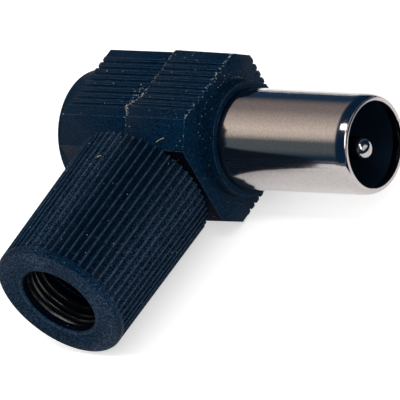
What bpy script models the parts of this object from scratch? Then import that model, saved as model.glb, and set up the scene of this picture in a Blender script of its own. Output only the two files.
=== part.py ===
# Right-angle antenna connector.
# Two moulded half shells meet on the plane x = 0 and carry the plug: a metal sleeve, an insulator,
# a centre pin with its clamp screw and a bracket for the cable's braid. Their two half collars form
# one tube for the cable, and a ribbed nut with a grip ring screws over it and holds the halves shut.
# Every mesh is drawn round the point where the plug's axis (+X) crosses the cable's axis (-Y).
# The finished part lies on its side, +Z up, with its origin at the bottom centre of its box.
import math

import bmesh
import bpy
from mathutils import Matrix, Vector

mm = 0.001

# Moulded body: walls round the room for the plug, cut corners and a little draft
rear_length = 8.18 * mm
side_wall = 1.25 * mm
top_wall = 1.07 * mm
cable_wall = 1.33 * mm
front_wall = 1.45 * mm
rear_wall = 1.30 * mm
top_corner_cut = 1.90 * mm
cable_corner_cut = 2.16 * mm
front_draft = 0.20 * mm
rear_draft = 0.08 * mm
cable_draft = 0.05 * mm
seam_gap = 0.10 * mm

# Grip ribs moulded along the body
body_rib_pitch = 0.84 * mm
body_rib_depth = 0.28 * mm
body_rib_crown = 0.06 * mm
body_rib_shoulder = 0.33
body_groove_width = 0.14 * mm

# Round boss behind the body and round collar in front of it
boss_step = 0.51 * mm
boss_length = 2.17 * mm
boss_fillet = 0.20 * mm
boss_wall = 1.30 * mm
collar_wall = 0.50 * mm
collar_length = 1.50 * mm
collar_fillet = 0.40 * mm

# Small tongue of the front shell that reaches over the seam on the upper side
tongue_start = -2.05 * mm
tongue_tip = -3.20 * mm
tongue_end = -4.40 * mm
tongue_reach = 0.87 * mm

# Locating columns and pegs in the corners
column_radius = 0.90 * mm
peg_radius = 0.50 * mm
peg_length = 1.60 * mm

# Clearances
fit_gap = 0.10 * mm
thread_gap = 0.10 * mm

# Plug sleeve, drawn from sheet metal with a flange behind and a rolled mouth in front
sleeve_root_radius = 4.80 * mm
sleeve_taper = 0.19 * mm
sleeve_wall = 0.40 * mm
sleeve_reach = 16.00 * mm
roll_length = 1.30 * mm
roll_depth = 0.52 * mm
lip_thickness = 0.20 * mm
flange_step = 0.40 * mm
flange_thickness = 0.90 * mm

# Centre pin and its screw
pin_radius = 1.13 * mm
pin_recess = 0.95 * mm
pin_dome = 0.45 * mm
pin_head_radius = 2.00 * mm
pin_head_rear = 2.60 * mm
wire_hole_radius = 0.80 * mm
screw_radius = 0.85 * mm
screw_stickout = 0.70 * mm
screw_slot_width = 0.40 * mm
screw_slot_depth = 0.50 * mm

# Insulator and braid bracket
insulator_rim = 0.80 * mm
insulator_depth = 3.60 * mm
insulator_room = 0.60 * mm
sheet = 0.35 * mm
strap_half_width = 1.40 * mm
cradle_radius = 2.30 * mm
cradle_gap = 0.25 * mm
cradle_half_angle = math.radians(105)

# Cable collar, nut and grip ring
nut_seat = 1.75 * mm
cable_tube_wall = 1.50 * mm
cable_tube_flare = 0.60 * mm
nut_length = 15.58 * mm
nut_rim_gap = 0.14 * mm
nut_rim_proud = 0.30 * mm
nut_taper = 0.29 * mm
nut_end_fillet = 0.40 * mm
nut_lip = 0.85 * mm
nut_hole_room = 0.48 * mm
nut_hole_chamfer = 0.27 * mm
nut_rib_count = 56
nut_rib_depth = 0.25 * mm
nut_rib_phase = math.radians(27.5)
nut_smooth_band = 0.90 * mm
nut_run_out = 0.60 * mm
ring_length = 2.00 * mm
ring_wall = 0.35 * mm
ring_ridge_height = 0.30 * mm
ring_ridge_pitch = 0.65 * mm

# Places that follow from the sizes above: the plug's stack, from the cable's axis forward
insulator_rear = cradle_radius + sheet + insulator_room
insulator_rim_front = insulator_rear + insulator_rim
bracket_rear = insulator_rim_front + fit_gap
bracket_front = bracket_rear + sheet
sleeve_flange_rear = bracket_front + fit_gap
sleeve_flange_front = sleeve_flange_rear + flange_thickness
front_length = sleeve_flange_front + fit_gap + front_wall
sleeve_tip = front_length + sleeve_reach
pin_tip = sleeve_tip - pin_recess

# Radii and half widths round the plug's axis
sleeve_tip_radius = sleeve_root_radius - sleeve_taper
flange_radius = sleeve_root_radius + flange_step
insulator_radius = sleeve_root_radius - sleeve_wall - fit_gap
pocket_radius = flange_radius + fit_gap
collar_radius = sleeve_root_radius + fit_gap + collar_wall
side_half = pocket_radius + side_wall
top_half = pocket_radius + top_wall
cable_half = pocket_radius + cable_wall
boss_radius = side_half - boss_step
column_offset = (pocket_radius + column_radius) / math.sqrt(2)

# The nut and what it screws on, along and round the cable's axis
thread_radius = side_half - nut_seat
cable_bore_radius = thread_radius - cable_tube_wall
nut_bore_radius = thread_radius + thread_gap
nut_hole_radius = cable_bore_radius + nut_hole_room
nut_rim_radius = side_half + nut_rim_proud
nut_end_radius = nut_rim_radius - nut_taper
nut_rim = -(cable_half + cable_draft + nut_rim_gap)
nut_end = nut_rim - nut_length
ring_end = nut_end + nut_lip + fit_gap
ring_start = ring_end + ring_length
cable_tube_end = ring_start + fit_gap

# Overshoot of cutters and the angle above which an edge is shaded sharp
bore_clear = 1.0 * mm
far = 40.0 * mm
smooth_angle = math.radians(28)


def clear_scene():
    for old in list(bpy.data.objects):
        bpy.data.objects.remove(old, do_unlink=True)


def make_material(name, color, roughness, metallic):
    material = bpy.data.materials.new(name)
    material.use_nodes = True
    shader = material.node_tree.nodes["Principled BSDF"]
    shader.inputs["Base Color"].default_value = (*color, 1.0)
    shader.inputs["Roughness"].default_value = roughness
    shader.inputs["Metallic"].default_value = metallic
    return material


def link_mesh(name, bm):
    bmesh.ops.recalc_face_normals(bm, faces=bm.faces)
    mesh = bpy.data.meshes.new(name)
    bm.to_mesh(mesh)
    bm.free()
    obj = bpy.data.objects.new(name, mesh)
    bpy.context.scene.collection.objects.link(obj)
    return obj


def loft(name, sections):
    # Skin over closed sections with equal numbers of points, with a flat cap on each end
    bm = bmesh.new()
    rings = [[bm.verts.new(point) for point in section] for section in sections]
    count = len(rings[0])
    for ring, following in zip(rings, rings[1:]):
        for i in range(count):
            j = (i + 1) % count
            bm.faces.new((ring[i], ring[j], following[j], following[i]))
    bm.faces.new(rings[0])
    bm.faces.new(reversed(rings[-1]))
    return link_mesh(name, bm)


def lathe(name, profile, axis, segments):
    # Turn a closed profile of (distance along the axis, radius) pairs about the axis
    bm = bmesh.new()
    side = Vector((0, 0, 1))
    verts = [bm.verts.new(axis * along + side * radius) for along, radius in profile]
    edges = [bm.edges.new((verts[i - 1], verts[i])) for i in range(len(verts))]
    bmesh.ops.spin(bm, geom=verts + edges, cent=(0, 0, 0), axis=axis, angle=2 * math.pi,
                   steps=segments, use_merge=True)
    bmesh.ops.remove_doubles(bm, verts=bm.verts, dist=1e-7)
    return link_mesh(name, bm)


def rod(name, start, end, radius, axis, segments, centre=(0, 0, 0)):
    profile = [(start, 0), (start, radius), (end, radius), (end, 0)]
    obj = lathe(name, profile, axis, segments)
    obj.data.transform(Matrix.Translation(Vector(centre)))
    return obj


def box(name, low, high):
    corners = [(low[0], low[1]), (high[0], low[1]), (high[0], high[1]), (low[0], high[1])]
    return loft(name, [[(x, y, z) for x, y in corners] for z in (low[2], high[2])])


def combine(target, other, operation):
    # Apply one Boolean and drop the helper shape
    modifier = target.modifiers.new(operation.lower(), 'BOOLEAN')
    modifier.operation = operation
    modifier.solver = 'EXACT'
    modifier.object = other
    depsgraph = bpy.context.evaluated_depsgraph_get()
    result = bpy.data.meshes.new_from_object(target.evaluated_get(depsgraph))
    target.modifiers.clear()
    target.data = result
    bpy.data.objects.remove(other, do_unlink=True)


def add(target, other):
    combine(target, other, 'UNION')


def cut(target, other):
    combine(target, other, 'DIFFERENCE')


def finish(obj, material, parent):
    obj.data.materials.clear()
    obj.data.materials.append(material)
    obj.data.shade_smooth()
    obj.data.set_sharp_from_angle(angle=smooth_angle)
    obj.parent = parent
    return obj


def rib_numbers(low, high):
    # Whole ribs that fit between two edges of a face, counted from its middle
    shoulder = body_rib_shoulder * body_rib_pitch
    first = math.ceil((low + shoulder) / body_rib_pitch)
    last = math.floor((high - shoulder) / body_rib_pitch)
    return range(first, last + 1)


def ribbed_face(edges, places, height):
    # Rounded ribs across one face, as (along the face, height) pairs from edge to edge
    groove = body_groove_width / 2
    shoulder = body_rib_shoulder * body_rib_pitch
    points = [(edges[0], height - body_rib_crown)]
    for index in places:
        crest = index * body_rib_pitch
        points += [(crest - shoulder, height - body_rib_crown), (crest, height),
                   (crest + shoulder, height - body_rib_crown)]
        if index != places[-1]:
            middle = crest + body_rib_pitch / 2
            points += [(middle - groove, height - body_rib_depth),
                       (middle + groove, height - body_rib_depth)]
    points.append((edges[1], height - body_rib_crown))
    return points


def body_section(x, draft):
    # Outline of the body at x: ribs on three faces, four cut corners, a plain face to the cable
    side = side_half + draft
    top = top_half + draft
    cable = cable_half + draft * cable_draft / front_draft
    corner_shift = draft * (math.sqrt(2) - 1)
    side_top_edge = top_half - top_corner_cut + corner_shift + body_rib_crown
    side_cable_edge = -(cable_half - cable_corner_cut + corner_shift + body_rib_crown)
    top_edge = side_half - top_corner_cut + corner_shift + body_rib_crown
    cable_edge = side_cable_edge * -1 + side - cable - body_rib_crown
    side_ribs = rib_numbers(cable_corner_cut - cable_half, top_half - top_corner_cut)
    top_ribs = rib_numbers(top_corner_cut - side_half, side_half - top_corner_cut)
    over_side = ribbed_face((side_cable_edge, side_top_edge), side_ribs, side)
    points = [(x, along, height) for along, height in reversed(over_side)]
    points += [(x, -cable, cable_edge), (x, -cable, -cable_edge)]
    points += [(x, along, -height) for along, height in over_side]
    points += [(x, height, along)
               for along, height in ribbed_face((-top_edge, top_edge), top_ribs, top)]
    return points


def cavity_section(x):
    # Inside of the shells: flats at the pocket's radius behind the faces, and cut corners
    flat = pocket_radius
    corner_shift = side_wall * (math.sqrt(2) - 1)
    top_edge = top_half - top_corner_cut - corner_shift
    cable_edge = cable_half - cable_corner_cut - corner_shift
    corners = [(top_edge, flat), (-cable_edge, flat), (-flat, cable_edge), (-flat, -cable_edge),
               (-cable_edge, -flat), (top_edge, -flat), (flat, -top_edge), (flat, top_edge)]
    return [(x, y, z) for y, z in corners]


def tongue(name, clearance):
    # Wedge through the upper wall that the two shells share
    low = column_offset + column_radius
    outline = [(seam_gap * 2, tongue_start + clearance), (-tongue_reach - clearance, tongue_tip),
               (seam_gap * 2, tongue_end - clearance)]
    return loft(name, [[(x, y, z) for x, y in outline] for z in (low, side_half + side_wall)])


def column_places():
    return [(y, z) for y in (-column_offset, column_offset) for z in (-column_offset, column_offset)]


def add_cable_tube(shell):
    # Solid tube for the cable, bored through into the body, with a flared mouth
    cable_axis = Vector((0, 1, 0))
    root = -cable_half + cable_wall / 2
    add(shell, rod("tube", root, cable_tube_end, thread_radius, cable_axis, 48))
    inside = bore_clear - pocket_radius
    mouth_radius = cable_bore_radius + cable_tube_flare
    outside = cable_tube_end - bore_clear
    bore = [(inside, 0), (inside, cable_bore_radius),
            (cable_tube_end + cable_tube_flare, cable_bore_radius), (cable_tube_end, mouth_radius),
            (outside, mouth_radius), (outside, 0)]
    cut(shell, lathe("bore", bore, cable_axis, 40))


def make_front_shell():
    # Front half: drafted body, collar round the plug, half of the cable tube, sockets for the pegs
    x_axis = Vector((1, 0, 0))
    back = -2 * tongue_reach
    slope = front_draft / front_length
    shell = loft("front_shell", [body_section(back, front_draft - slope * back),
                                 body_section(front_length, 0)])
    collar_front = front_length + collar_length
    arc = [math.radians(90) * i / 4 for i in range(5)]
    fillet = [(front_length + collar_fillet * (1 - math.sin(a)),
               collar_radius + collar_fillet * (1 - math.cos(a))) for a in reversed(arc)]
    ring = [(front_length - front_wall / 2, 0),
            (front_length - front_wall / 2, collar_radius + collar_fillet)]
    ring += fillet + [(collar_front, collar_radius), (collar_front, 0)]
    add(shell, lathe("collar", ring, x_axis, 64))
    cut(shell, loft("cavity", [cavity_section(back - bore_clear),
                               cavity_section(front_length - front_wall)]))
    cut(shell, rod("pocket", back, front_length - front_wall, pocket_radius, x_axis, 64))
    cut(shell, rod("plug_bore", 0, far, sleeve_root_radius + fit_gap, x_axis, 64))
    add_cable_tube(shell)
    for y, z in column_places():
        add(shell, rod("column", back, front_length - front_wall / 2, column_radius, x_axis, 16,
                       (0, y, z)))
        cut(shell, rod("socket", -bore_clear, peg_length + fit_gap, peg_radius + fit_gap, x_axis, 12,
                       (0, y, z)))
    behind_seam = box("behind_seam", (-far, -far, -far), (seam_gap / 2, far, far))
    cut(behind_seam, tongue("tongue", 0))
    cut(shell, behind_seam)
    return shell


def make_rear_shell():
    # Rear half: body with its round boss, the other half of the cable tube, the locating pegs
    x_axis = Vector((1, 0, 0))
    ahead = bore_clear
    slope = rear_draft / rear_length
    shell = loft("rear_shell", [body_section(-rear_length, rear_draft),
                                body_section(ahead, -slope * ahead)])
    boss_end = -rear_length - boss_length
    arc = [math.radians(90) * i / 3 for i in range(4)]
    rounded = [(boss_end + boss_fillet * (1 - math.cos(a)),
                boss_radius - boss_fillet * (1 - math.sin(a))) for a in arc]
    boss = [(rear_wall / 2 - rear_length, 0), (boss_end, 0)] + rounded
    boss += [(rear_wall / 2 - rear_length, boss_radius)]
    add(shell, lathe("boss", boss, x_axis, 64))
    cut(shell, loft("cavity", [cavity_section(ahead + bore_clear),
                               cavity_section(rear_wall - rear_length)]))
    cut(shell, rod("boss_hollow", boss_end + boss_wall, 0, boss_radius - boss_wall, x_axis, 48))
    add_cable_tube(shell)
    for y, z in column_places():
        add(shell, rod("column", ahead, rear_wall / 2 - rear_length, column_radius, x_axis, 16,
                       (0, y, z)))
    ahead_of_seam = box("ahead_of_seam", (-seam_gap / 2, -far, -far), (far, far, far))
    add(ahead_of_seam, tongue("notch", seam_gap))
    cut(shell, ahead_of_seam)
    for y, z in column_places():
        add(shell, rod("peg", -bore_clear, peg_length, peg_radius, x_axis, 12, (0, y, z)))
    return shell


def make_plug_sleeve():
    # Outer contact: flange, gently tapered tube, mouth rolled inward to a thin lip
    roll_start = sleeve_tip - roll_length
    quarter = [math.radians(90) * i / 6 for i in range(7)]
    outer = [(roll_start + roll_length * math.sin(a),
              sleeve_tip_radius - roll_depth * (1 - math.cos(a))) for a in quarter]
    inner_length = roll_length - lip_thickness
    lip = sleeve_tip_radius - roll_depth - lip_thickness * 0.6
    inner = [(roll_start + inner_length * math.sin(a),
              lip + (sleeve_tip_radius - sleeve_wall - lip) * math.cos(a)) for a in reversed(quarter)]
    profile = [(sleeve_flange_rear, flange_radius), (sleeve_flange_front, flange_radius),
               (sleeve_flange_front, sleeve_root_radius)] + outer + inner
    profile += [(sleeve_flange_rear, sleeve_root_radius - sleeve_wall)]
    return lathe("plug_sleeve", profile, Vector((1, 0, 0)), 64)


def make_insulator():
    # Disc that centres the pin, with a rim behind the bracket and a flat that lets its strap pass
    x_axis = Vector((1, 0, 0))
    front = insulator_rim_front + insulator_depth
    hole = pin_radius + fit_gap
    profile = [(insulator_rear, hole), (insulator_rear, flange_radius),
               (insulator_rim_front, flange_radius), (insulator_rim_front, insulator_radius),
               (front, insulator_radius), (front, hole)]
    insulator = lathe("insulator", profile, x_axis, 48)
    strap_inner = strap_depth() - sheet - fit_gap
    slot_side = strap_half_width + fit_gap
    cut(insulator, box("strap_slot", (insulator_rear - bore_clear, -far, -slot_side),
                       (insulator_rim_front + fit_gap / 2, -strap_inner, slot_side)))
    return insulator


def strap_depth():
    # How far below the plug's axis the outside of the bracket's strap lies
    outer = flange_radius - fit_gap
    return math.sqrt(outer ** 2 - strap_half_width ** 2) - fit_gap


def make_braid_bracket():
    # Bent sheet: a ring against the sleeve's flange, a strap, and a cradle crimped round the braid
    x_axis = Vector((1, 0, 0))
    inner = insulator_radius + fit_gap
    outer = flange_radius - fit_gap / 2
    bracket = lathe("braid_bracket", [(bracket_rear, inner), (bracket_rear, outer),
                                      (bracket_front, outer), (bracket_front, inner)], x_axis, 48)
    depth = strap_depth()
    add(bracket, box("strap", (cradle_radius + sheet / 2, -depth, -strap_half_width),
                     (bracket_front - sheet / 4, sheet - depth, strap_half_width)))
    steps = 20
    angles = [cradle_half_angle * (2 * i / steps - 1) for i in range(steps + 1)]
    arc = [(cradle_radius * math.cos(a), cradle_radius * math.sin(a)) for a in angles]
    outer_radius = cradle_radius + sheet
    arc += [(outer_radius * math.cos(a), outer_radius * math.sin(a)) for a in reversed(angles)]
    ends = (sheet / 2 - depth, -pin_head_radius - cradle_gap)
    add(bracket, loft("cradle", [[(x, y, z) for x, z in arc] for y in ends]))
    return bracket


def make_centre_pin():
    # Inner contact: domed tip, plain shank, thick head with a cross hole for the wire
    x_axis = Vector((1, 0, 0))
    head_front = insulator_rear - fit_gap
    quarter = [math.radians(90) * i / 5 for i in range(6)]
    dome = [(pin_tip - pin_dome * (1 - math.cos(a)), pin_radius * math.sin(a)) for a in quarter]
    profile = dome + [(head_front, pin_radius), (head_front, pin_head_radius),
                      (-pin_head_rear, pin_head_radius), (-pin_head_rear, 0)]
    pin = lathe("centre_pin", profile, x_axis, 32)
    y_axis = Vector((0, 1, 0))
    cut(pin, rod("wire_hole", -far, far, wire_hole_radius, y_axis, 20))
    cut(pin, rod("screw_hole", -far, 0, screw_radius + fit_gap, x_axis, 20))
    return pin


def make_pin_screw():
    # Slotted grub screw that clamps the wire in the pin
    x_axis = Vector((1, 0, 0))
    rear = -pin_head_rear - screw_stickout
    screw = rod("pin_screw", rear, -wire_hole_radius, screw_radius, x_axis, 20)
    cut(screw, box("slot", (rear - bore_clear, -screw_slot_width / 2, -far),
                   (rear + screw_slot_depth, screw_slot_width / 2, far)))
    return screw


def nut_section(y, radius, valley):
    # Narrow ridges with wide hollows between them, as one closed ring round the cable's axis
    step = 2 * math.pi / nut_rib_count
    shape = [(-0.11, 0), (0.11, 0), (0.24, 0.8), (0.5, 1), (0.76, 0.8)]
    points = []
    for rib in range(nut_rib_count):
        for share, sunk in shape:
            angle = nut_rib_phase + (rib + share) * step
            r = radius - valley * sunk
            points.append((r * math.sin(angle), y, r * math.cos(angle)))
    return points


def nut_radius(y):
    # Plain taper from the rim to the start of the end fillet
    share = (nut_rim - y) / (nut_length - nut_end_fillet)
    return nut_rim_radius + (nut_end_radius - nut_rim_radius) * share


def make_cable_nut():
    # Nut with ribs that run out near its end face, bored for the collar and lipped for the cable
    valleys_end = nut_end + nut_smooth_band
    stations = [(nut_rim, nut_rib_depth), (valleys_end + nut_run_out, nut_rib_depth)]
    stations += [(valleys_end + nut_run_out * (1 - math.sin(a)), nut_rib_depth * math.cos(a))
                 for a in (math.radians(40), math.radians(75))]
    stations += [(valleys_end, 0), (nut_end + nut_end_fillet, 0)]
    sections = [nut_section(y, nut_radius(y), valley) for y, valley in stations]
    for a in (math.radians(45), math.radians(90)):
        y = nut_end + nut_end_fillet * (1 - math.sin(a))
        sections.append(nut_section(y, nut_end_radius - nut_end_fillet * (1 - math.cos(a)), 0))
    nut = loft("cable_nut", sections)
    lip_inside = nut_end + nut_lip
    hollow = [(nut_rim + bore_clear, 0), (nut_rim + bore_clear, nut_bore_radius),
              (lip_inside, nut_bore_radius), (lip_inside, nut_hole_radius),
              (nut_end + nut_hole_chamfer, nut_hole_radius),
              (nut_end, nut_hole_radius + nut_hole_chamfer),
              (nut_end - bore_clear, nut_hole_radius + nut_hole_chamfer), (nut_end - bore_clear, 0)]
    cut(nut, lathe("hollow", hollow, Vector((0, 1, 0)), nut_rib_count))
    return nut


def make_grip_ring():
    # Ring behind the nut's lip with ridges that bite the cable's jacket
    base = thread_radius - ring_wall
    profile = [(ring_start, thread_radius), (ring_end, thread_radius), (ring_end, base)]
    ridges = int(ring_length / ring_ridge_pitch)
    margin = (ring_length - ridges * ring_ridge_pitch) / 2
    for ridge in range(ridges):
        foot = ring_end + margin + ridge * ring_ridge_pitch
        profile += [(foot + 0.15 * ring_ridge_pitch, base),
                    (foot + 0.40 * ring_ridge_pitch, base - ring_ridge_height),
                    (foot + 0.60 * ring_ridge_pitch, base - ring_ridge_height),
                    (foot + 0.85 * ring_ridge_pitch, base)]
    profile.append((ring_start, base))
    return lathe("grip_ring", profile, Vector((0, 1, 0)), 40)


def part_origin():
    # Where the axes cross, seen from the bottom centre of the finished part's box
    front_at_seam = front_draft * (1 - seam_gap / (2 * front_length))
    low = (-rear_length - boss_length, nut_end)
    high = (sleeve_tip, top_half + front_at_seam)
    rim = min(z for x, y, z in nut_section(nut_rim, nut_rim_radius, nut_rib_depth))
    bottom = min(rim, -side_half - front_at_seam, -boss_radius)
    return (-(low[0] + high[0]) / 2, -(low[1] + high[1]) / 2, -bottom)


def build():
    clear_scene()
    plastic = make_material("dark_moulded_plastic", (0.018, 0.024, 0.034), 0.55, 0.0)
    nut_plastic = make_material("dark_nut_plastic", (0.016, 0.022, 0.032), 0.55, 0.0)
    ring_plastic = make_material("shiny_ring_plastic", (0.012, 0.015, 0.020), 0.25, 0.0)
    nickel = make_material("nickel_plate", (0.62, 0.58, 0.55), 0.22, 1.0)
    white = make_material("white_insulator", (0.75, 0.74, 0.70), 0.45, 0.0)
    steel = make_material("zinc_steel", (0.55, 0.55, 0.53), 0.35, 1.0)

    crossing = bpy.data.objects.new("axis_crossing", None)
    bpy.context.scene.collection.objects.link(crossing)
    crossing.location = part_origin()

    finish(make_front_shell(), plastic, crossing)
    finish(make_rear_shell(), plastic, crossing)
    finish(make_cable_nut(), nut_plastic, crossing)
    finish(make_grip_ring(), ring_plastic, crossing)
    finish(make_plug_sleeve(), nickel, crossing)
    finish(make_insulator(), white, crossing)
    finish(make_centre_pin(), nickel, crossing)
    finish(make_pin_screw(), steel, crossing)
    finish(make_braid_bracket(), steel, crossing)


build()
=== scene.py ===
import math
import random

import bmesh
import bpy
from mathutils import Matrix, Vector


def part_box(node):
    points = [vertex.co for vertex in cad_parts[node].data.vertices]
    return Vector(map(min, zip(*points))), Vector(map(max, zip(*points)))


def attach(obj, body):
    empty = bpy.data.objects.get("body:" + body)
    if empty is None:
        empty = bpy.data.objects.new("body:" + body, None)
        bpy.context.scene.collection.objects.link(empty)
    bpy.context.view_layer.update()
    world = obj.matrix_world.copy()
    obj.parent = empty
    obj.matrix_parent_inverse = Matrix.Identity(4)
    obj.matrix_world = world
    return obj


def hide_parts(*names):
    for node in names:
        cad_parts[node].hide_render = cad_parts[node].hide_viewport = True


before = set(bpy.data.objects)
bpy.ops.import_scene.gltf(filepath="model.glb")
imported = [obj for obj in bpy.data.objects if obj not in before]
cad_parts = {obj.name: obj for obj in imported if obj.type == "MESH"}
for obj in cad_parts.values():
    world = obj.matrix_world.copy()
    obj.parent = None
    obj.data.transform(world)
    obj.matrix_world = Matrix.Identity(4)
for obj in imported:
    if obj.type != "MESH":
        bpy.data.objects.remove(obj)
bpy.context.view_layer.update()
mm = 0.001
weld = 0.001 * mm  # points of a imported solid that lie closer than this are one
fineWeld = 0.1 * weld

sleeveLow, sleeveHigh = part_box("plug_sleeve")
nutLow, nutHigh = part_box("cable_nut")
ringLow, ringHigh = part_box("grip_ring")

# The plug's axis runs along +X and the cable's along -Y; pieces are placed from where they cross
crossing = Vector(((nutLow.x + nutHigh.x) / 2, (sleeveLow.y + sleeveHigh.y) / 2,
                   (sleeveLow.z + sleeveHigh.z) / 2))
plugAxis = Vector((1, 0, 0))
cableAxis = Vector((0, -1, 0))
print("frame loaded, axes cross at", [round(c / mm, 3) for c in crossing])


# Helpers

def linear(code):
    # sRGB hex to the linear colour that a socket wants
    parts = [int(code[i:i + 2], 16) / 255 for i in (1, 3, 5)]
    return [c / 12.92 if c <= 0.04045 else ((c + 0.055) / 1.055) ** 2.4 for c in parts] + [1.0]


def addNode(tree, kind, settings=None, links=None):
    # One node: settings go to its properties or sockets, links to its sockets by name or number
    node = tree.nodes.new(kind)
    for key, value in (settings or {}).items():
        if isinstance(key, str) and hasattr(node, key):
            setattr(node, key, value)
        else:
            node.inputs[key].default_value = value
    for key, (source, output) in (links or {}).items():
        tree.links.new(source.outputs[output], node.inputs[key])
    return node


def newMaterial(name):
    material = bpy.data.materials.new(name)
    material.use_nodes = True
    tree = material.node_tree
    return material, tree, tree.nodes["Principled BSDF"]


def finishPiece(bm, name, material, body, replaced=(), sharpDegrees=30):
    # Mesh to object: welded, faces out, round parts smooth, riding on its body
    bmesh.ops.remove_doubles(bm, verts=bm.verts, dist=fineWeld)
    bmesh.ops.recalc_face_normals(bm, faces=bm.faces)
    mesh = bpy.data.meshes.new(name)
    bm.to_mesh(mesh)
    bm.free()
    mesh.materials.append(material)
    mesh.shade_smooth()
    mesh.set_sharp_from_angle(angle=math.radians(sharpDegrees))
    piece = bpy.data.objects.new(name, mesh)
    bpy.context.scene.collection.objects.link(piece)
    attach(piece, body)
    if replaced:
        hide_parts(*replaced)
    print(name, len(mesh.polygons), "faces")
    return piece


def turnProfile(profile, axis, segments):
    # Closed profile of (distance from the crossing, radius) in mm, spun once round the axis
    bm = bmesh.new()
    side = Vector((0, 0, 1))
    verts = [bm.verts.new(crossing + axis * along * mm + side * radius * mm) for along, radius in profile]
    edges = [bm.edges.new((verts[i - 1], verts[i])) for i in range(len(verts))]
    bmesh.ops.spin(bm, geom=verts + edges, cent=crossing, axis=axis, angle=2 * math.pi,
                   steps=segments, use_merge=True)
    return bm


def arcPoints(centre, radii, start, end, steps):
    # Points of an elliptic arc, angles in degrees from the first direction
    angles = [math.radians(start + (end - start) * i / steps) for i in range(steps + 1)]
    return [(centre[0] + radii[0] * math.cos(a), centre[1] + radii[1] * math.sin(a)) for a in angles]


# Materials

# A pair of values is where a noise starts to count and where it counts in full, or the gloss range
absLook = {"dark": "#010a15", "light": "#04253b", "grainMm": 0.13, "speckle": (0.36, 0.64),
           "rubAndHighlight": "#6c7f91", "crestShare": 0.50, "flash": "#b9bdc0", "patchMm": 0.30,
           "patches": (0.38, 0.60), "grooveShade": 0.03,
           "dustAndSheenTone": "#485e78", "dustAndSheenShare": 0.75, "filmSpeckle": (0.46, 0.74),
           "dust": "#c9c6b8", "dustMm": 0.055, "dustCellMm": 0.34, "bareShare": 0.25, "dustFade": 2.5,
           "sideDust": 0.45, "topSlope": 0.6, "mottleMm": 1.6, "roughness": (0.42, 0.60), "ior": 1.53,
           "specular": 0.07, "sheenTone": "#2468e8", "bumpMm": 0.016, "bumpStrength": 0.5}


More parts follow.
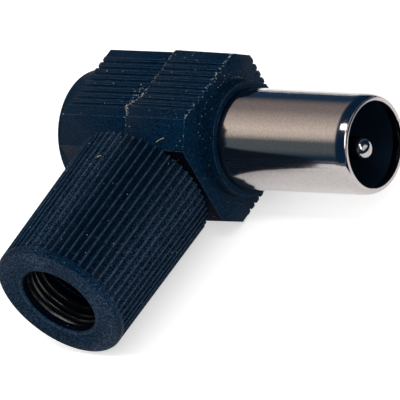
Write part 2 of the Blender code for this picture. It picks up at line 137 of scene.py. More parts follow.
def makeMouldedAbs(name, look, shift):
    # ABS from a spark-eroded mould: a satin skin with a fine even grain, a little dust caught in it, and
    # edges rubbed paler. On top of that come painted shade where a piece marks it, a painted highlight on
    # the nut's crests and a painted sheen in the dust film. The grain is drawn coarser than the real one,
    # so that it shows
    material, tree, shader = newMaterial(name)
    coords = addNode(tree, "ShaderNodeTexCoord")
    place = addNode(tree, "ShaderNodeMapping", {"Location": shift}, {"Vector": (coords, "Object")})
    mottle = addNode(tree, "ShaderNodeTexNoise", {"Scale": 1 / (look["mottleMm"] * mm), "Detail": 6.0,
                                                  "Roughness": 0.65}, {"Vector": (place, "Vector")})
    grain = addNode(tree, "ShaderNodeTexNoise", {"Scale": 1 / (look["grainMm"] * mm), "Detail": 3.0,
                                                 "Roughness": 0.6}, {"Vector": (place, "Vector")})
    speckled = addNode(tree, "ShaderNodeMapRange", {"From Min": look["speckle"][0],
                                                    "From Max": look["speckle"][1]},
                       {"Value": (grain, "Fac")})
    body = addNode(tree, "ShaderNodeMix", {"data_type": 'RGBA', 6: linear(look["dark"]),
                                           7: linear(look["light"])}, {0: (speckled, "Result")})
    # Each piece says how it wears and where shade is painted: -1 is painted shade in grooves, hollows and
    # faces that other parts keep from the light, 1 on rubbed corners, 2 on the seam's flash
    wearAndShade = addNode(tree, "ShaderNodeAttribute", {"attribute_name": "wearAndShade"})
    paintedShade = addNode(tree, "ShaderNodeMapRange", {"From Min": -1.0, "From Max": 0.0,
                                                  "To Min": look["grooveShade"]}, {"Value": (wearAndShade, "Fac")})
    shaded = addNode(tree, "ShaderNodeVectorMath", {"operation": 'SCALE'},
                     {0: (body, 2), "Scale": (paintedShade, "Result")})
    patch = addNode(tree, "ShaderNodeTexNoise", {"Scale": 1 / (look["patchMm"] * mm), "Detail": 4.0,
                                                 "Roughness": 0.7}, {"Vector": (place, "Vector")})
    broken = addNode(tree, "ShaderNodeMapRange", {"From Min": look["patches"][0],
                                                  "From Max": look["patches"][1]},
                     {"Value": (patch, "Fac")})
    # Paler where rubbed: worn corners and edges, and on the nut's crests also a painted highlight
    edge = addNode(tree, "ShaderNodeMapRange", {"To Max": look["crestShare"]}, {"Value": (wearAndShade, "Fac")})
    rubAndHighlight = addNode(tree, "ShaderNodeMath", {"operation": 'MULTIPLY'},
                     {0: (edge, "Result"), 1: (broken, "Result")})
    wornAndHighlit = addNode(tree, "ShaderNodeMix", {"data_type": 'RGBA', 7: linear(look["rubAndHighlight"])},
                   {0: (rubAndHighlight, "Value"), 6: (shaded, "Vector")})
    seam = addNode(tree, "ShaderNodeMapRange", {"From Min": 1.0, "From Max": 2.0}, {"Value": (wearAndShade, "Fac")})
    pressed = addNode(tree, "ShaderNodeMath", {"operation": 'MULTIPLY'},
                      {0: (seam, "Result"), 1: (broken, "Result")})
    seamed = addNode(tree, "ShaderNodeMix", {"data_type": 'RGBA', 7: linear(look["flash"])},
                     {0: (pressed, "Value"), 6: (wornAndHighlit, 2)})
    # Fine dust where the piece says that it settles, and in the same tone a painted sheen where the nut
    # marks it
    settleAndSheen = addNode(tree, "ShaderNodeAttribute", {"attribute_name": "dustAndSheen"})
    fine = addNode(tree, "ShaderNodeMapRange", {"From Min": look["filmSpeckle"][0],
                                                "From Max": look["filmSpeckle"][1],
                                                "To Max": look["dustAndSheenShare"]}, {"Value": (grain, "Fac")})
    filmAndSheen = addNode(tree, "ShaderNodeMath", {"operation": 'MULTIPLY', "use_clamp": True},
                   {0: (fine, "Result"), 1: (settleAndSheen, "Fac")})
    filmedAndSheened = addNode(tree, "ShaderNodeMix", {"data_type": 'RGBA', 7: linear(look["dustAndSheenTone"])},
                     {0: (filmAndSheen, "Value"), 6: (seamed, 2)})
    # Coarser dust: small pale specks of different sizes in some of the cells
    cells = addNode(tree, "ShaderNodeTexVoronoi", {"Scale": 1 / (look["dustCellMm"] * mm)},
                    {"Vector": (place, "Vector")})
    pick = addNode(tree, "ShaderNodeSeparateColor", {}, {"Color": (cells, "Color")})
    size = addNode(tree, "ShaderNodeMapRange", {"From Min": look["bareShare"], "From Max": 1.0,
                                                "To Max": look["dustMm"] / look["dustCellMm"]},
                   {"Value": (pick, "Red")})
    speck = addNode(tree, "ShaderNodeMath", {"operation": 'LESS_THAN'},
                    {0: (cells, "Distance"), 1: (size, "Result")})
    fade = addNode(tree, "ShaderNodeMath", {"operation": 'POWER', 1: look["dustFade"]},
                   {0: (pick, "Green")})
    # More of it lies on what faces up
    facing = addNode(tree, "ShaderNodeNewGeometry")
    split = addNode(tree, "ShaderNodeSeparateXYZ", {}, {"Vector": (facing, "Normal")})
    lying = addNode(tree, "ShaderNodeMapRange", {"From Min": 0.0, "From Max": look["topSlope"],
                                                 "To Min": look["sideDust"]}, {"Value": (split, "Z")})
    lain = addNode(tree, "ShaderNodeMath", {"operation": 'MULTIPLY'},
                   {0: (fade, "Value"), 1: (lying, "Result")})
    strength = addNode(tree, "ShaderNodeMath", {"operation": 'MULTIPLY'},
                       {0: (speck, "Value"), 1: (lain, "Value")})
    dusty = addNode(tree, "ShaderNodeMix", {"data_type": 'RGBA', 7: linear(look["dust"])},
                    {0: (strength, "Value"), 6: (filmedAndSheened, 2)})
    tree.links.new(dusty.outputs[2], shader.inputs["Base Color"])
    rough = addNode(tree, "ShaderNodeMapRange", {"To Min": look["roughness"][0],
                                                 "To Max": look["roughness"][1]},
                    {"Value": (mottle, "Fac")})
    tree.links.new(rough.outputs["Result"], shader.inputs["Roughness"])
    bump = addNode(tree, "ShaderNodeBump", {"Strength": look["bumpStrength"],
                                            "Distance": look["bumpMm"] * mm},
                   {"Height": (grain, "Fac")})
    tree.links.new(bump.outputs["Normal"], shader.inputs["Normal"])
    shader.inputs["IOR"].default_value = look["ior"]
    shader.inputs["Specular IOR Level"].default_value = look["specular"]
    shader.inputs["Specular Tint"].default_value = linear(look["sheenTone"])
    return material


nickelLook = {"tone": "#c6bfbf", "warm": "#97928f", "hazeMm": 0.22, "scuffMm": 0.25,
              "roughness": (0.06, 0.18), "bumpMm": 0.0012, "bumpStrength": 0.4}


def makeNickelPlate(name, look):
    # Nickel plated on drawn brass: a warm grey mirror, dulled by a fine grain
    material, tree, shader = newMaterial(name)
    coords = addNode(tree, "ShaderNodeTexCoord")
    haze = addNode(tree, "ShaderNodeTexNoise", {"Scale": 1 / (look["hazeMm"] * mm), "Detail": 4.0,
                                                "Roughness": 0.7}, {"Vector": (coords, "Object")})
    tint = addNode(tree, "ShaderNodeMix", {"data_type": 'RGBA', 6: linear(look["tone"]),
                                           7: linear(look["warm"])}, {0: (haze, "Fac")})
    tree.links.new(tint.outputs[2], shader.inputs["Base Color"])
    marks = addNode(tree, "ShaderNodeTexNoise", {"Scale": 1 / (look["scuffMm"] * mm), "Detail": 5.0,
                                                 "Roughness": 0.7}, {"Vector": (coords, "Object")})
    rough = addNode(tree, "ShaderNodeMapRange", {"To Min": look["roughness"][0],
                                                 "To Max": look["roughness"][1]},
                    {"Value": (marks, "Fac")})
    tree.links.new(rough.outputs["Result"], shader.inputs["Roughness"])
    bump = addNode(tree, "ShaderNodeBump", {"Strength": look["bumpStrength"],
                                            "Distance": look["bumpMm"] * mm},
                   {"Height": (marks, "Fac")})
    tree.links.new(bump.outputs["Normal"], shader.inputs["Normal"])
    shader.inputs["Metallic"].default_value = 1.0
    return material


# The rest: tone, roughness, metallic, and the size of the grain in mm
plainLooks = {
    # Painted shade for deep inside the sleeve: a dark blue-grey metal that darkens the inside and paints a
    # dark blue reflection into it
    "sleeveInsidePaintedShade": ("#4c6c8e", 0.40, 1.0, 0.5),
    # Nylon turned from black rod: glossy, with fine tool marks
    "glossBlackNylon": ("#0c0e12", 0.20, 0.0, 0.12),
    # Polythene turned from undyed rod: milky white and soft to the eye
    "naturalPolythene": ("#dcdad2", 0.45, 0.0, 0.4),
    # Cut steel, tumbled and zinc plated: a pale satin metal
    "zincPlatedSteel": ("#b6b5b0", 0.34, 1.0, 0.3),
    # Stamped brass sheet, dipped in tin: a pale metal, slightly smeared
    "tinnedBrassSheet": ("#b9b8b4", 0.28, 1.0, 0.3),
    # ABS flash torn off at the seam: pale and matt where the plastic has stretched
    "mouldFlash": ("#8d8f90", 0.60, 0.0, 0.15),
    # A loose fibre of unbleached card: straw-coloured and matt
    "paperFibre": ("#c2b48a", 0.80, 0.0, 0.2)}
plainGrain = {"detail": 3.0, "shade": 0.82, "smoother": 0.05, "rougher": 0.08}


def makePlainFinish(name, tone, roughness, metallic, grainMm):
    # One tone, with a grain in its colour and its gloss that is coarse enough to show
    material, tree, shader = newMaterial(name)
    coords = addNode(tree, "ShaderNodeTexCoord")
    grain = addNode(tree, "ShaderNodeTexNoise", {"Scale": 1 / (grainMm * mm),
                                                 "Detail": plainGrain["detail"]},
                    {"Vector": (coords, "Object")})
    darker = [c * plainGrain["shade"] for c in linear(tone)[:3]] + [1.0]
    shade = addNode(tree, "ShaderNodeMix", {"data_type": 'RGBA', 6: linear(tone), 7: darker},
                    {0: (grain, "Fac")})
    tree.links.new(shade.outputs[2], shader.inputs["Base Color"])
    rough = addNode(tree, "ShaderNodeMapRange", {"To Min": roughness - plainGrain["smoother"],
                                                 "To Max": roughness + plainGrain["rougher"]},
                    {"Value": (grain, "Fac")})
    tree.links.new(rough.outputs["Result"], shader.inputs["Roughness"])
    shader.inputs["Metallic"].default_value = metallic
    return material


# The nut's pattern is moved aside, so that its specks don't repeat those of the shells
shellAbs = makeMouldedAbs("mouldedAbsShell", absLook, (0.0, 0.0, 0.0))
nutAbs = makeMouldedAbs("mouldedAbsNut", absLook, (0.0130, 0.0091, 0.0169))
nickelPlate = makeNickelPlate("nickelPlate", nickelLook)
plainFinishes = {name: makePlainFinish(name, *look) for name, look in plainLooks.items()}
print("materials made")


# Cable nut

# Each step of the hole's edge: depth from the nut's end, reach beyond the hole, wear and painted shade, and
# share of the end's dust and painted sheen. Each band of painted sheen: the angle of its middle, its width
# and how much
cableNut = {"ribs": 56, "phaseDegrees": 27.5, "rimRadius": 6.85, "endRadius": 6.56, "ribDepth": 0.25,
            "ribShape": (1.0, 0.97, 0.84, 0.38, 0.0, 0.0, 0.38, 0.84, 0.97, 1.0), "rimEdge": 0.06,
            "smoothBand": 0.62, "runOut": 0.55, "runOutShares": (0.0, 0.3, 0.55, 0.75, 0.9, 1.0),
            "endFillet": 0.40, "filletSteps": 6, "holeRadius": 3.84,
            "holeEdge": ((0.00, 0.32, 0.0, 1), (0.02, 0.24, 0.9, 0), (0.04, 0.20, 0.2, 0),
                         (0.13, 0.03, 0.3, 0), (0.19, 0.00, -1.0, 0)),
            "lip": 0.85, "boreRadius": 4.90, "crestRubAndHighlight": 0.45, "valleyShade": 1.15, "insideShade": -1.0,
            "dust": 0.18, "endDustAndSheen": 0.72, "paintedSheenBands": ((84, 24, 1.10), (5, 13, 1.20)),
            "valleyLoss": 0.5, "sharpDegrees": 40}


def growRings(bm, segments, stations, place):
    # A ring of points grown into a closed tube: each station is placed, the last meets the first
    ring = bmesh.ops.create_circle(bm, segments=segments, radius=1.0)["verts"]
    place(ring, *stations[0])
    for station in stations[1:]:
        current = set(ring)
        edges = [e for e in dict.fromkeys(e for v in ring for e in v.link_edges)
                 if e.verts[0] in current and e.verts[1] in current]
        grown = bmesh.ops.extrude_edge_only(bm, edges=edges)["geom"]
        fresh = {g for g in grown if isinstance(g, bmesh.types.BMVert)}
        ring = [next(e.other_vert(v) for e in v.link_edges if e.other_vert(v) in fresh) for v in ring]
        place(ring, *station)
    bmesh.ops.bridge_loops(bm, edges=[e for e in bm.edges if e.is_boundary])


def makeCableNut(s):
    # Ribbed skin, its run-out near the end, the rounded end, the lip, the bore and back to the rim
    bm = bmesh.new()
    wearAndShade = bm.verts.layers.float.new("wearAndShade")
    dustAndSheen = bm.verts.layers.float.new("dustAndSheen")
    shape = s["ribShape"]
    full = (nutHigh.y - nutLow.y) / mm
    taper = (s["rimRadius"] - s["endRadius"]) / (full - s["endFillet"])

    def place(ring, along, radius, valley, rubAndShade=0.0, filmAndSheen=0.0):
        for i, vert in enumerate(ring):
            angle = math.radians(s["phaseDegrees"]) + 2 * math.pi * (i + 0.5) / len(ring)
            low = shape[(i + len(shape) // 2) % len(shape)]
            # Ribs: paler crests are rubbed wear and a painted highlight, darker valleys are painted shade
            ribHighlightAndShade = (s["crestRubAndHighlight"] - s["valleyShade"] * math.sqrt(low)) * valley / s["ribDepth"]
            vert[wearAndShade] = rubAndShade + ribHighlightAndShade
            turn = math.degrees(angle)
            # Bands of painted sheen round the nut, carried in the dust film
            sheenBands = [share * math.exp(-(((turn - middle + 180) % 360 - 180) / width) ** 2)
                     for middle, width, share in s["paintedSheenBands"]]
            vert[dustAndSheen] = filmAndSheen + (s["dust"] + sum(sheenBands)) * (1 - s["valleyLoss"] * low)
            r = (radius - valley * low) * mm
            vert.co = Vector((crossing.x + r * math.sin(angle), nutHigh.y - along * mm,
                              crossing.z + r * math.cos(angle)))

    def skin(along):
        return s["rimRadius"] - taper * along

    # Stations from the rim: distance along, radius, depth of the valleys, wear and painted shade, film of
    # dust and painted sheen
    runOutStart = full - s["smoothBand"] - s["runOut"]
    stations = [(s["rimEdge"], skin(0), s["ribDepth"]),
                (runOutStart / 2, skin(runOutStart / 2), s["ribDepth"])]
    for share in s["runOutShares"]:
        along = runOutStart + s["runOut"] * share
        stations.append((along, skin(along), s["ribDepth"] * math.sqrt(1 - share ** 2)))
    # Dust and a painted sheen lie on the end from half way round its fillet
    corner = (full - s["endFillet"], s["endRadius"] - s["endFillet"])
    fillet = arcPoints(corner, (s["endFillet"],) * 2, 90, 0, s["filletSteps"])
    stations += [(along, radius, 0, 0.0, s["endDustAndSheen"] * max(0.0, 2 * i / s["filletSteps"] - 1))
                 for i, (along, radius) in enumerate(fillet)]
    stations += [(full - depth, s["holeRadius"] + reach, 0, rubAndShade, s["endDustAndSheen"] * dusty)
                 for depth, reach, rubAndShade, dusty in s["holeEdge"]]
    # The lip and the bore get painted shade
    stations += [(full - s["lip"], s["holeRadius"], 0, s["insideShade"]),
                 (full - s["lip"], s["boreRadius"], 0, s["insideShade"]),
                 (0.0, s["boreRadius"], 0, s["insideShade"]),
                 (0.0, skin(0) - s["rimEdge"], s["ribDepth"])]
    growRings(bm, s["ribs"] * len(shape), stations, place)
    return finishPiece(bm, "ribbedCableNut", nutAbs, "nut", ["cable_nut"], s["sharpDegrees"])


makeCableNut(cableNut)


# Grip ring behind the nut's lip

# The ridge: distance along and how far its height has fallen, from 0 at the crest to 1 at the root
gripRing = {"outerRadius": 4.80, "innerRadius": 4.20, "edge": 0.06, "segments": 128,
            "ridgeRadius": 3.72, "sunk": 0.05, "pitch": 0.60, "turns": 2.2, "stepsPerTurn": 96,
            "ridge": ((-0.14, 1.0), (-0.05, 0.06), (0.00, 0.00), (0.06, 0.03), (0.12, 0.11), (0.18, 0.24),
                      (0.23, 0.42), (0.27, 0.65), (0.30, 1.0)),
            "lipRadius": 3.32, "lipLength": 0.34, "lipSlope": 0.10, "lipEdge": 0.07,
            "lipRound": (0.4, 0.3), "sharpDegrees": 50}


def makeGripRing(s):
    # Plain ring with a rounded ridge that winds inside it like a coarse thread
    start = (crossing.y - ringHigh.y) / mm
    end = (crossing.y - ringLow.y) / mm
    lipEnd = start + s["lipLength"]
    roundAlong, roundAcross = (s["lipEdge"] * share for share in s["lipRound"])
    bm = turnProfile([(start, s["outerRadius"] - s["edge"]), (start + s["edge"], s["outerRadius"]),
                      (end - s["edge"], s["outerRadius"]), (end, s["outerRadius"] - s["edge"]),
                      (end, s["innerRadius"] + s["edge"]), (end - s["edge"], s["innerRadius"]),
                      (lipEnd + s["lipSlope"], s["innerRadius"]),
                      (lipEnd, s["lipRadius"] + s["lipEdge"]),
                      (lipEnd - roundAlong, s["lipRadius"] + roundAcross),
                      (lipEnd - s["lipEdge"], s["lipRadius"]), (start, s["lipRadius"])],
                     cableAxis, s["segments"])
    steps = int(s["turns"] * s["stepsPerTurn"])
    travel = s["turns"] * s["pitch"]
    first = (lipEnd + end - travel) / 2
    root = s["innerRadius"] + s["sunk"]
    height = root - s["ridgeRadius"]
    profile = [(first + along, root - height * (1 - fallen)) for along, fallen in s["ridge"]]
    verts = [bm.verts.new(crossing + cableAxis * a * mm + Vector((0, 0, r * mm))) for a, r in profile]
    face = bm.faces.new(verts)
    bmesh.ops.spin(bm, geom=[face], cent=crossing, axis=cableAxis, angle=2 * math.pi * s["turns"],
                   dvec=cableAxis * (travel * mm / steps), steps=steps)
    return finishPiece(bm, "threadedGripRing", plainFinishes["glossBlackNylon"], "ring",
                       ["grip_ring"], s["sharpDegrees"])


makeGripRing(gripRing)


# Plug sleeve

plugSleeve = {"flangeRear": 4.6, "flangeFront": 5.5, "flangeRadius": 5.2, "seatRadius": 4.885,
              "seatEnd": 8.20, "seatSlope": (0.08, 0.04), "rootRadius": 4.80, "tipRadius": 4.61,
              "wall": 0.40, "rollLength": 1.30, "rollDepth": 0.37, "rollSteps": 16, "rimInner": 3.99,
              "rimStep": 0.03, "mouthRadius": 3.96, "lip": 0.20, "lipSteps": 12, "segments": 192,
              "unshadedShare": 0.85, "inward": -0.2, "sharpDegrees": 40}


def makePlugSleeve(s):
    # Flange, gently tapered tube, and a mouth rolled inward to a flat rim
    tip = (sleeveHigh.x - crossing.x) / mm
    rollStart = tip - s["rollLength"]
    roll = arcPoints((rollStart, s["tipRadius"] - s["rollDepth"]), (s["rollLength"], s["rollDepth"]),
                     90, 0, s["rollSteps"])
    lip = arcPoints((rollStart, s["mouthRadius"]), (s["rollLength"] - s["lip"],
                                                    s["tipRadius"] - s["wall"] - s["mouthRadius"]),
                    0, 90, s["lipSteps"])
    slopeLength, slopeDrop = s["seatSlope"]
    bm = turnProfile([(s["flangeRear"], s["flangeRadius"]), (s["flangeFront"], s["flangeRadius"]),
                      (s["flangeFront"], s["seatRadius"]), (s["seatEnd"], s["seatRadius"]),
                      (s["seatEnd"] + slopeLength, s["rootRadius"] - slopeDrop)] + roll
                     + [(tip, s["rimInner"]), (tip - s["rimStep"], s["mouthRadius"])] + lip
                     + [(s["flangeRear"], s["rootRadius"] - s["wall"])], plugAxis, s["segments"])
    piece = finishPiece(bm, "rolledPlugSleeve", nickelPlate, "housing", ["plug_sleeve"],
                        s["sharpDegrees"])
    # Nickel on the roll from the mouth inward; deeper inside, faces that look inward get the painted shade
    piece.data.materials.append(plainFinishes["sleeveInsidePaintedShade"])
    shadeFrom = (tip - s["rollLength"] * s["unshadedShare"]) * mm
    for polygon in piece.data.polygons:
        outward = polygon.center - crossing
        deep = outward.x < shadeFrom
        outward.x = 0
        if deep and polygon.normal.dot(outward.normalized()) < s["inward"]:
            polygon.material_index = 1
    return piece


makePlugSleeve(plugSleeve)


# Body halves: the imported solids with their edges broken

# Wear, dust and painted shade of each place, and the places by their distance from the crossing in mm
bodyHalves = {"edgeBreak": 0.060, "breakDegrees": 24, "flatDegrees": 0.4, "seamBand": (-1.10, 0.20),
              "seamTilt": 0.3, "squareOn": 0.9, "shadedFace": -6.60, "shade": -1.0,
              "collarStart": 7.10, "collarShade": -0.45, "tubeStart": -1.5, "tubeBore": 3.6,
              "seamWear": 2.0, "edgeWear": 1.0, "dust": 0.08, "edgeDust": 0.50, "sharpDegrees": 40}


def makeBodyHalf(node, name, s):
    # A copy of the solid, flat faces joined up, every sharp edge given a narrow rubbed face, and painted
    # shade in the cable tube, beside the nut and round the collar
    bm = bmesh.new()
    bm.from_mesh(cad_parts[node].data)
    wearAndShade = bm.faces.layers.float.new("wearAndShade")
    dustAndSheen = bm.faces.layers.float.new("dustAndSheen")
    bmesh.ops.remove_doubles(bm, verts=bm.verts, dist=weld)
    bmesh.ops.dissolve_limit(bm, angle_limit=math.radians(s["flatDegrees"]), verts=bm.verts, edges=bm.edges)
    sharp = [e for e in bm.edges if len(e.link_faces) == 2
             and e.calc_face_angle(0) > math.radians(s["breakDegrees"])]
    broken = bmesh.ops.bevel(bm, geom=sharp, offset=s["edgeBreak"] * mm, offset_type='OFFSET',
                             affect='EDGES', segments=1, profile=0.5, material=-1,
                             clamp_overlap=True, loop_slide=True)["faces"]
    bm.normal_update()
    near, far = (crossing.x + edge * mm for edge in s["seamBand"])
    for face in bm.faces:
        middle = face.calc_center_median() - crossing
        face[dustAndSheen] = s["dust"]
        # Painted shade inside the cable tube, on the front half's face beside the nut and on the collar's
        # side
        inTube = middle.y < s["tubeStart"] * mm and middle.xz.length < s["tubeBore"] * mm
        facesNut = face.normal.y < -s["squareOn"] and middle.y < s["shadedFace"] * mm
        if inTube or (facesNut and node == "front_shell"):
            face[wearAndShade] = s["shade"]
        elif middle.x > s["collarStart"] * mm and abs(face.normal.x) < s["squareOn"]:
            face[wearAndShade] = s["collarShade"]
    for face in broken:
        face[dustAndSheen] = s["edgeDust"]
        onSeam = near < face.calc_center_median().x < far and abs(face.normal.x) > s["seamTilt"]
        face[wearAndShade] = s["seamWear"] if onSeam else s["edgeWear"]
    bmesh.ops.triangulate(bm, faces=bm.faces)
    return finishPiece(bm, name, shellAbs, "housing", [node], s["sharpDegrees"])


halfPieces = [makeBodyHalf("front_shell", "frontBodyHalf", bodyHalves),
              makeBodyHalf("rear_shell", "rearBodyHalf", bodyHalves)]


# Centre pin

centrePin = {"tipReach": 3.0, "domeStart": 0.58, "domeLength": 1.00, "domeOffset": 0.02, "domeEnd": 3,
             "steps": 18, "bendStart": 10.0, "bend": (0, -0.31, -0.33), "bendPower": 1.5,
             "sharpDegrees": 40}


def makeCentrePin(s):
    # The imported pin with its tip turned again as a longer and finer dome, and bent a little
    bm = bmesh.new()
    bm.from_mesh(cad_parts["centre_pin"].data)
    bmesh.ops.remove_doubles(bm, verts=bm.verts, dist=weld)
    tip = max(v.co.x for v in bm.verts)
    last = max((v.co - crossing).yz.length for v in bm.verts if v.co.x > tip - s["tipReach"] * mm) / mm
    start = Vector((tip - s["domeStart"] * mm, crossing.y, crossing.z))
    bmesh.ops.bisect_plane(bm, geom=bm.verts[:] + bm.edges[:] + bm.faces[:], plane_co=start,
                           plane_no=plugAxis, clear_outer=True)
    dome = arcPoints((s["domeOffset"], 0), (s["domeLength"], last), 90, s["domeEnd"], s["steps"])
    for along, across in dome:
        edges = [e for e in bm.edges if e.is_boundary]
        grown = bmesh.ops.extrude_edge_only(bm, edges=edges)["geom"]
        ring = [g for g in grown if isinstance(g, bmesh.types.BMVert)]
        bmesh.ops.scale(bm, vec=(1, across / last, across / last), space=Matrix.Translation(-crossing),
                        verts=ring)
        for vert in ring:
            vert.co.x = start.x + along * mm
        last = across
    bmesh.ops.pointmerge(bm, verts=ring, merge_co=sum((v.co for v in ring), Vector()) / len(ring))
    bendStart = crossing.x + s["bendStart"] * mm
    for vert in bm.verts:
        share = max(0.0, (vert.co.x - bendStart) / (tip - bendStart))
        vert.co += Vector(s["bend"]) * mm * share ** s["bendPower"]
    return finishPiece(bm, "domedCentrePin", nickelPlate, "housing", ["centre_pin"],
                       s["sharpDegrees"])


makeCentrePin(centrePin)


# Crumbs of flash along the seam and the front edge of the top face

# Each run: how many, how far they stray, and the corners of the line that they lie along
seamCrumbs = {"seed": 11, "size": (0.022, 0.060), "stretch": (0.7, 1.6), "flatness": 0.7, "above": 12,
              "runs": (
                  (90, 0.06, ((0.10, 6.1), (0.12, 2.0), (0.12, -1.2), (0.21, -1.94))),
                  (130, 0.10, ((0.21, -1.94), (-0.25, -2.39), (-0.64, -2.93), (-0.87, -3.16),
                               (-0.60, -3.55), (-0.35, -3.90), (0.00, -4.40), (0.05, -5.2))),
                  (110, 0.10, ((6.95, 5.4), (6.95, -4.6))),
                  (60, 0.30, ((-1.2, -0.8), (-0.3, -3.0))))}


def makeSeamCrumbs(s, halves):
    # Torn flash, dropped on the body from above; most of it lies round the tongue
    chance = random.Random(s["seed"])
    bpy.context.view_layer.update()
    bm = bmesh.new()
    scattered = [(scatter, path) for count, scatter, path in s["runs"] for i in range(count)]
    for scatter, path in scattered:
        leg = chance.choice(range(1, len(path)))
        share = chance.random()
        x, y = ((1 - share) * a + share * b + chance.gauss(0, scatter)
                for a, b in zip(path[leg - 1], path[leg]))
        above = crossing + Vector((x, y, s["above"])) * mm
        hits = [half.ray_cast(above, Vector((0, 0, -1))) for half in halves]
        points = [point for found, point, normal, index in hits if found]
        if points:
            size = chance.uniform(*s["size"]) * mm
            place = Matrix.Translation(max(points, key=lambda p: p.z)) @ Matrix.Diagonal(
                (chance.uniform(*s["stretch"]), chance.uniform(*s["stretch"]), s["flatness"], 1))
            bmesh.ops.create_icosphere(bm, subdivisions=1, radius=size, matrix=place)
    return finishPiece(bm, "seamCrumbs", plainFinishes["mouldFlash"], "housing")


makeSeamCrumbs(seamCrumbs, halfPieces)


# Thin skin of plastic that the mould left between the collar's bore and the sleeve

collarSkin = {"profile": ((8.30, 4.95), (8.49, 4.95), (8.50, 4.93), (8.50, 4.78), (8.47, 4.74),
                          (8.30, 4.74)), "segments": 96}

finishPiece(turnProfile(collarSkin["profile"], plugAxis, collarSkin["segments"]), "collarSkin", shellAbs,
            "housing")


# Two paper fibres caught on the plastic

paperFibres = {"radius": 0.030, "sides": 8,
               "threads": {"housing": ("front_shell", ((3.88, -6.14, 5.03), (4.23, -6.00, 5.17),
                                                       (4.77, -5.86, 5.32))),
                           "nut": ("cable_nut", ((0.40, -10.24, 6.77), (0.54, -10.09, 6.77),
                                                 (0.71, -9.99, 6.75)))}}


def makePaperFibre(body, points, s):
    # A bent fibre, made of short round lengths
    bm = bmesh.new()
    spots = [crossing + Vector(point) * mm for point in points]
    radius = s["radius"] * mm
    for a, b in zip(spots, spots[1:]):
        turn = (b - a).to_track_quat('Z', 'Y').to_matrix().to_4x4()
        bmesh.ops.create_cone(bm, cap_ends=True, segments=s["sides"], radius1=radius, radius2=radius,
                              depth=(b - a).length, matrix=Matrix.Translation((a + b) / 2) @ turn)
    return finishPiece(bm, body + "Fibre", plainFinishes["paperFibre"], body)


for body, (slot, points) in paperFibres["threads"].items():
    makePaperFibre(body, points, paperFibres)


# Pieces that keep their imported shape

packedFinishes = {"insulator": "naturalPolythene", "pin_screw": "zincPlatedSteel",
                  "braid_bracket": "tinnedBrassSheet"}
for node, finish in packedFinishes.items():
    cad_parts[node].data.materials.clear()
    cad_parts[node].data.materials.append(plainFinishes[finish])
print("packed pieces given their finishes")


# Floor, light tent, lamps and camera

# All in metres; the tent runs along the plug's axis. Each cloth: left, right, near and far edge from
# the crossing. Each lamp: direction, distance, size, watts, and the direction that its width follows
studio = {"floorReach": 2.0, "floorGap": 0.00002, "floorTone": "#d9d9d9", "floorRoughness": 0.9,
          "floorGlow": 0.55, "tentRadius": 0.60, "tentRear": -1.4, "tentFront": 1.0, "tentStrength": 1.3,
          "gradientEnd": -0.32, "gradientFade": 0.05, "roundSteps": 96, "cloth": "#102a44",
          "flagRadius": 0.100, "flagHeight": 0.0072, "clothHeight": 0.0001,
          "cloths": {"frontCloth": (0.0360, 0.1500, -0.1000, 0.1000),
                     "endCloth": (-0.0180, -0.0005, -0.0330, -0.0228),
                     "bossCloth": (-0.0300, -0.0110, -0.0240, -0.0080)},
          "worldTone": "#ffffff", "worldStrength": 0.55,
          "lamps": {"overheadLamp": ((0.16, -0.20, 0.96), 0.50, (0.50, 0.10), 0.95, (1, 0, 0)),
                    "frontLamp": ((0.711, -0.427, 0.559), 0.60, (0.12, 0.33), 0.90, (0.515, 0.857, 0)),
                    "rearFill": ((-0.62, 0.76, 0.20), 0.60, (0.40, 0.25), 2.60, (0.76, 0.62, 0))},
          "hiddenFromMetal": ("rearFill",)}
# The diffuser round the plug's axis, in degrees from +Y over the top to -Y: dark cloth at both feet,
# a grey sheet, the glow of the lamp behind it, which ends sharply, and a dim strip
tentStops = ((27, "#253c55"), (44, "#857d7a"), (66, "#938a88"), (113, "#f2e4d6"), (126, "#dcd2c6"),
             (138, "#5c666b"), (158, "#5c666b"), (171, "#1a354a"))


def addStage(bm, name, material, onlyMirrored=True):
    # A studio piece; cloth and flags are there for what the metal mirrors, not for the camera
    mesh = bpy.data.meshes.new(name)
    bm.to_mesh(mesh)
    bm.free()
    mesh.shade_smooth()
    mesh.materials.append(material)
    piece = bpy.data.objects.new(name, mesh)
    bpy.context.scene.collection.objects.link(piece)
    if onlyMirrored:
        piece.visible_camera = False
        piece.visible_shadow = False
        piece.visible_diffuse = False


def seenDirectly(tree):
    # 1 for a ray that the eye, a mirror or a clear piece sends out, else 0
    path = addNode(tree, "ShaderNodeLightPath")
    seen = addNode(tree, "ShaderNodeMath", {"operation": 'MAXIMUM'},
                   {0: (path, "Is Camera Ray"), 1: (path, "Is Glossy Ray")})
    return addNode(tree, "ShaderNodeMath", {"operation": 'MAXIMUM'},
                   {0: (seen, "Value"), 1: (path, "Is Transmission Ray")})


def makePaperFloor(s):
    # White paper: its own tone for the camera, with the shadow that falls on it
    paper, tree, shader = newMaterial("whitePaper")
    shader.inputs["Base Color"].default_value = linear(s["floorTone"])
    shader.inputs["Roughness"].default_value = s["floorRoughness"]
    shader.inputs["Emission Color"].default_value = (1, 1, 1, 1)
    glow = addNode(tree, "ShaderNodeMath", {"operation": 'MULTIPLY', 1: s["floorGlow"]},
                   {0: (seenDirectly(tree), "Value")})
    tree.links.new(glow.outputs["Value"], shader.inputs["Emission Strength"])
    bm = bmesh.new()
    bmesh.ops.create_grid(bm, x_segments=1, y_segments=1, size=s["floorReach"])
    bmesh.ops.translate(bm, verts=bm.verts, vec=(0, 0, -s["floorGap"]))
    addStage(bm, "paperFloor", paper, False)


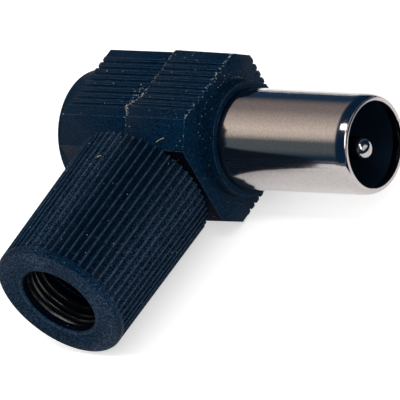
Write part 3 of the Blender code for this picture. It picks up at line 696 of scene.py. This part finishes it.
def makeLightTent(s, stops):
    # Half a tunnel of cloth over the object: behind the object a lit diffuser, dark elsewhere
    cloth, tree, shader = newMaterial("diffuserCloth")
    coords = addNode(tree, "ShaderNodeTexCoord")
    centred = addNode(tree, "ShaderNodeMapping", {"Location": tuple(-c for c in crossing)},
                      {"Vector": (coords, "Object")})
    split = addNode(tree, "ShaderNodeSeparateXYZ", {}, {"Vector": (centred, "Vector")})
    turn = addNode(tree, "ShaderNodeMath", {"operation": 'ARCTAN2'}, {0: (split, "Z"), 1: (split, "Y")})
    share = addNode(tree, "ShaderNodeMath", {"operation": 'DIVIDE', 1: math.pi}, {0: (turn, "Value")})
    ramp = addNode(tree, "ShaderNodeValToRGB", {}, {"Fac": (share, "Value")})
    elements = ramp.color_ramp.elements
    while len(elements) < len(stops):
        elements.new(1.0)
    for element, (degrees, code) in zip(elements, stops):
        element.position = degrees / 180
        element.color = linear(code)
    lit = addNode(tree, "ShaderNodeMapRange", {"From Min": s["gradientEnd"] + s["gradientFade"] / 2,
                                               "From Max": s["gradientEnd"] - s["gradientFade"] / 2},
                  {"Value": (split, "X")})
    tone = addNode(tree, "ShaderNodeMix", {"data_type": 'RGBA', 6: linear(s["cloth"])},
                   {0: (lit, "Result"), 7: (ramp, "Color")})
    tree.links.new(tone.outputs[2], shader.inputs["Emission Color"])
    shader.inputs["Emission Strength"].default_value = s["tentStrength"]
    shader.inputs["Base Color"].default_value = (0, 0, 0, 1)
    shader.inputs["Specular IOR Level"].default_value = 0.0
    bm = bmesh.new()
    start = Vector((s["tentRear"], s["tentRadius"], 0)) + crossing
    verts = [bm.verts.new(start), bm.verts.new(start + Vector((s["tentFront"] - s["tentRear"], 0, 0)))]
    edge = bm.edges.new(verts)
    bmesh.ops.spin(bm, geom=[edge], cent=crossing, axis=plugAxis, angle=math.pi, steps=s["roundSteps"])
    bmesh.ops.holes_fill(bm, edges=[e for e in bm.edges if e.is_boundary])
    addStage(bm, "lightTent", cloth)


def makeDarkCloths(s):
    # A strip round the paper, low enough to show only in the metal, and cloths on the table that
    # are mirrored in the pin, the ring behind the hole and the body's near side
    flag, tree, shader = newMaterial("blackFlag")
    shader.inputs["Base Color"].default_value = (0, 0, 0, 1)
    shader.inputs["Specular IOR Level"].default_value = 0.0
    shader.inputs["Emission Color"].default_value = linear(s["cloth"])
    shader.inputs["Emission Strength"].default_value = 1.0
    bm = bmesh.new()
    bmesh.ops.create_cone(bm, cap_ends=False, segments=s["roundSteps"], radius1=s["flagRadius"],
                          radius2=s["flagRadius"], depth=s["flagHeight"])
    bmesh.ops.translate(bm, verts=bm.verts, vec=(crossing.x, crossing.y, s["flagHeight"] / 2))
    addStage(bm, "lowFlag", flag)
    for name, (left, right, near, far) in s["cloths"].items():
        bm = bmesh.new()
        bmesh.ops.create_grid(bm, x_segments=1, y_segments=1, size=0.5)
        bmesh.ops.scale(bm, vec=(right - left, far - near, 1), verts=bm.verts)
        bmesh.ops.translate(bm, verts=bm.verts, vec=(crossing.x + (left + right) / 2,
                                                     crossing.y + (near + far) / 2, s["clothHeight"]))
        addStage(bm, name, flag)


def makeWorld(s):
    # Pale surroundings, dimmer as a light than to look at
    world = bpy.data.worlds.new("studioWorld")
    bpy.context.scene.world = world
    world.use_nodes = True
    tree = world.node_tree
    background = tree.nodes["Background"]
    background.inputs["Color"].default_value = linear(s["worldTone"])
    strength = addNode(tree, "ShaderNodeMapRange", {"To Min": s["worldStrength"], "To Max": 1.0},
                       {"Value": (seenDirectly(tree), "Value")})
    tree.links.new(strength.outputs["Result"], background.inputs["Strength"])


def makeLamps(s):
    # Rectangular softboxes aimed at the crossing
    for name, (direction, distance, size, watts, level) in s["lamps"].items():
        light = bpy.data.lights.new(name, 'AREA')
        light.energy = watts
        light.shape = 'RECTANGLE'
        light.size, light.size_y = size
        lamp = bpy.data.objects.new(name, light)
        back = Vector(direction).normalized()
        across = (Vector(level) - back * back.dot(Vector(level))).normalized()
        turn = Matrix((across, back.cross(across), back)).transposed().to_4x4()
        lamp.matrix_world = Matrix.Translation(crossing + back * distance) @ turn
        lamp.visible_glossy = name not in s["hiddenFromMetal"]
        bpy.context.scene.collection.objects.link(lamp)


makePaperFloor(studio)
makeLightTent(studio, tentStops)
makeDarkCloths(studio)
makeWorld(studio)
makeLamps(studio)

# Found from the outlines of the sleeve, the nut and the body in the photograph: degrees and mm
photoCamera = {"azimuth": 50.6754, "elevation": 33.2657, "roll": -30.1308, "distance": 300.0,
               "lens": 285.73, "sensor": 36.0, "lookAt": (1.6892, -3.3075, -5.1869), "clipStart": 10.0}


def makeCamera(s):
    # Stands back from the point that it looks at, then rolls about its own axis
    azimuth, elevation, roll = (math.radians(s[key]) for key in ("azimuth", "elevation", "roll"))
    back = Vector((math.sin(azimuth) * math.cos(elevation), -math.cos(azimuth) * math.cos(elevation),
                   math.sin(elevation)))
    level = Vector((0, 0, 1)).cross(back).normalized()
    upright = back.cross(level)
    right = level * math.cos(roll) + upright * math.sin(roll)
    up = back.cross(right)
    place = crossing + (Vector(s["lookAt"]) + back * s["distance"]) * mm
    data = bpy.data.cameras.new("photoCamera")
    data.lens = s["lens"]
    data.sensor_width = s["sensor"]
    data.clip_start = s["clipStart"] * mm
    camera = bpy.data.objects.new("photoCamera", data)
    camera.matrix_world = Matrix.Translation(place) @ Matrix((right, up, back)).transposed().to_4x4()
    bpy.context.scene.collection.objects.link(camera)
    bpy.context.scene.camera = camera


makeCamera(photoCamera)
bpy.context.scene.view_settings.view_transform = 'Standard'
print("studio and camera set")
